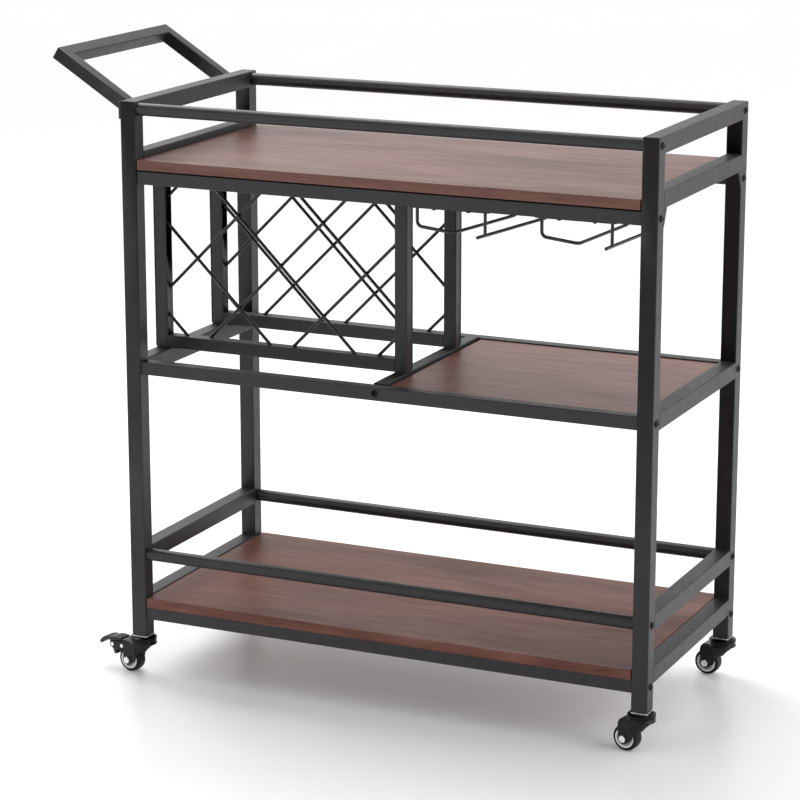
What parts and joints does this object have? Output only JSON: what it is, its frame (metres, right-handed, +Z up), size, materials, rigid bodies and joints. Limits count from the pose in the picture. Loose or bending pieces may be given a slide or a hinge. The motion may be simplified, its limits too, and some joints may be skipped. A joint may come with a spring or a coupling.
{
  "type": "bar cart",
  "caption": "Wheeled bar cart with a steel tube frame, wooden shelves, a wire bottle rack, hanging glass holders, a slanted push handle and swivel casters.",
  "frame": {"origin": "centre of the bounding box at floor level", "axes": "+X away from the push handle along the cart's length, +Y from the front towards the back, +Z up"},
  "size_m": [0.9884, 0.407, 0.9676],
  "materials": {
    "frame_steel": "satin black powder coat",
    "wire_steel": "satin black powder coat",
    "board_wood": "walnut-brown laminate, soft gloss",
    "spacer_felt": "matte",
    "black_screw": "black oxide",
    "zinc_insert": "bright zinc",
    "caster_black": "glossy black",
    "zinc_bolt": "bright zinc",
    "rim_grey": "light grey moulded",
    "tyre_black": "smooth black",
    "pedal_plastic": "moulded black"
  },
  "bodies": {
    "cart": {"end_frame_left": "frame_steel", "end_frame_right": "frame_steel", "upper_rail_front": "frame_steel", "upper_rail_back": "frame_steel", "mid_rail_front": "frame_steel", "mid_rail_back": "frame_steel", "low_rail_front": "frame_steel", "low_rail_back": "frame_steel", "top_pipe_front": "frame_steel", "top_pipe_back": "frame_steel", "guard_pipe_front": "frame_steel", "guard_pipe_back": "frame_steel", "rack_frame_front": "frame_steel", "rack_lattice_front": "wire_steel", "rack_frame_back": "frame_steel", "rack_lattice_back": "wire_steel", "cross_bar": "frame_steel", "top_board": "board_wood", "mid_board": "board_wood", "low_board": "board_wood", "board_spacers": "spacer_felt", "shelf_tabs": "frame_steel", "glass_holder_left": "wire_steel", "glass_holder_right": "wire_steel", "holder_screws": "black_screw", "board_screws": "black_screw", "handle": "frame_steel", "frame_bolts": "black_screw", "leg_inserts": "zinc_insert", "caster_fl_stem": "caster_black", "caster_fr_stem": "caster_black", "caster_bl_stem": "caster_black", "caster_br_stem": "caster_black"},
    "swivel_fl": {"caster_fl_fork": "caster_black", "caster_fl_axle": "zinc_bolt", "caster_fl_pins": "zinc_bolt"},
    "wheel_fl": {"caster_fl_rim": "rim_grey", "caster_fl_tyre": "tyre_black"},
    "brake_fl": {"caster_fl_pedal": "pedal_plastic"},
    "swivel_fr": {"caster_fr_fork": "caster_black", "caster_fr_axle": "zinc_bolt"},
    "wheel_fr": {"caster_fr_rim": "rim_grey", "caster_fr_tyre": "tyre_black"},
    "swivel_bl": {"caster_bl_fork": "caster_black", "caster_bl_axle": "zinc_bolt", "caster_bl_pins": "zinc_bolt"},
    "wheel_bl": {"caster_bl_rim": "rim_grey", "caster_bl_tyre": "tyre_black"},
    "brake_bl": {"caster_bl_pedal": "pedal_plastic"},
    "swivel_br": {"caster_br_fork": "caster_black", "caster_br_axle": "zinc_bolt"},
    "wheel_br": {"caster_br_rim": "rim_grey", "caster_br_tyre": "tyre_black"}
  },
  "joints": [
    {"name": "swivel_fl_turn", "type": "hinge", "parent": "cart", "child": "swivel_fl", "pos_m": [-0.3495, -0.1825, 0.0535], "axis": [0, 0, 1], "continuous": true},
    {"name": "wheel_fl_spin", "type": "hinge", "parent": "swivel_fl", "child": "wheel_fl", "pos_m": [-0.37215, -0.17851, 0.02], "axis": [0.1736, 0.9848, 0], "continuous": true},
    {"name": "brake_fl_press", "type": "hinge", "parent": "swivel_fl", "child": "brake_fl", "pos_m": [-0.40238, -0.17317, 0.04], "axis": [-0.1736, -0.9848, 0], "range_deg": [0, 18]},
    {"name": "swivel_fr_turn", "type": "hinge", "parent": "cart", "child": "swivel_fr", "pos_m": [0.4735, -0.1825, 0.0535], "axis": [0, 0, 1], "continuous": true},
    {"name": "wheel_fr_spin", "type": "hinge", "parent": "swivel_fr", "child": "wheel_fr", "pos_m": [0.45092, -0.17811, 0.02], "axis": [0.1908, 0.9816, 0], "continuous": true},
    {"name": "swivel_bl_turn", "type": "hinge", "parent": "cart", "child": "swivel_bl", "pos_m": [-0.3495, 0.1825, 0.0535], "axis": [0, 0, 1], "continuous": true},
    {"name": "wheel_bl_spin", "type": "hinge", "parent": "swivel_bl", "child": "wheel_bl", "pos_m": [-0.37241, 0.18451, 0.02], "axis": [0.0872, 0.9962, 0], "continuous": true},
    {"name": "brake_bl_press", "type": "hinge", "parent": "swivel_bl", "child": "brake_bl", "pos_m": [-0.403, 0.18718, 0.04], "axis": [-0.0872, -0.9962, 0], "range_deg": [0, 18]},
    {"name": "swivel_br_turn", "type": "hinge", "parent": "cart", "child": "swivel_br", "pos_m": [0.4735, 0.1825, 0.0535], "axis": [0, 0, 1], "continuous": true},
    {"name": "wheel_br_spin", "type": "hinge", "parent": "swivel_br", "child": "wheel_br", "pos_m": [0.45063, 0.1849, 0.02], "axis": [0.1045, 0.9945, 0], "continuous": true}
  ]
}
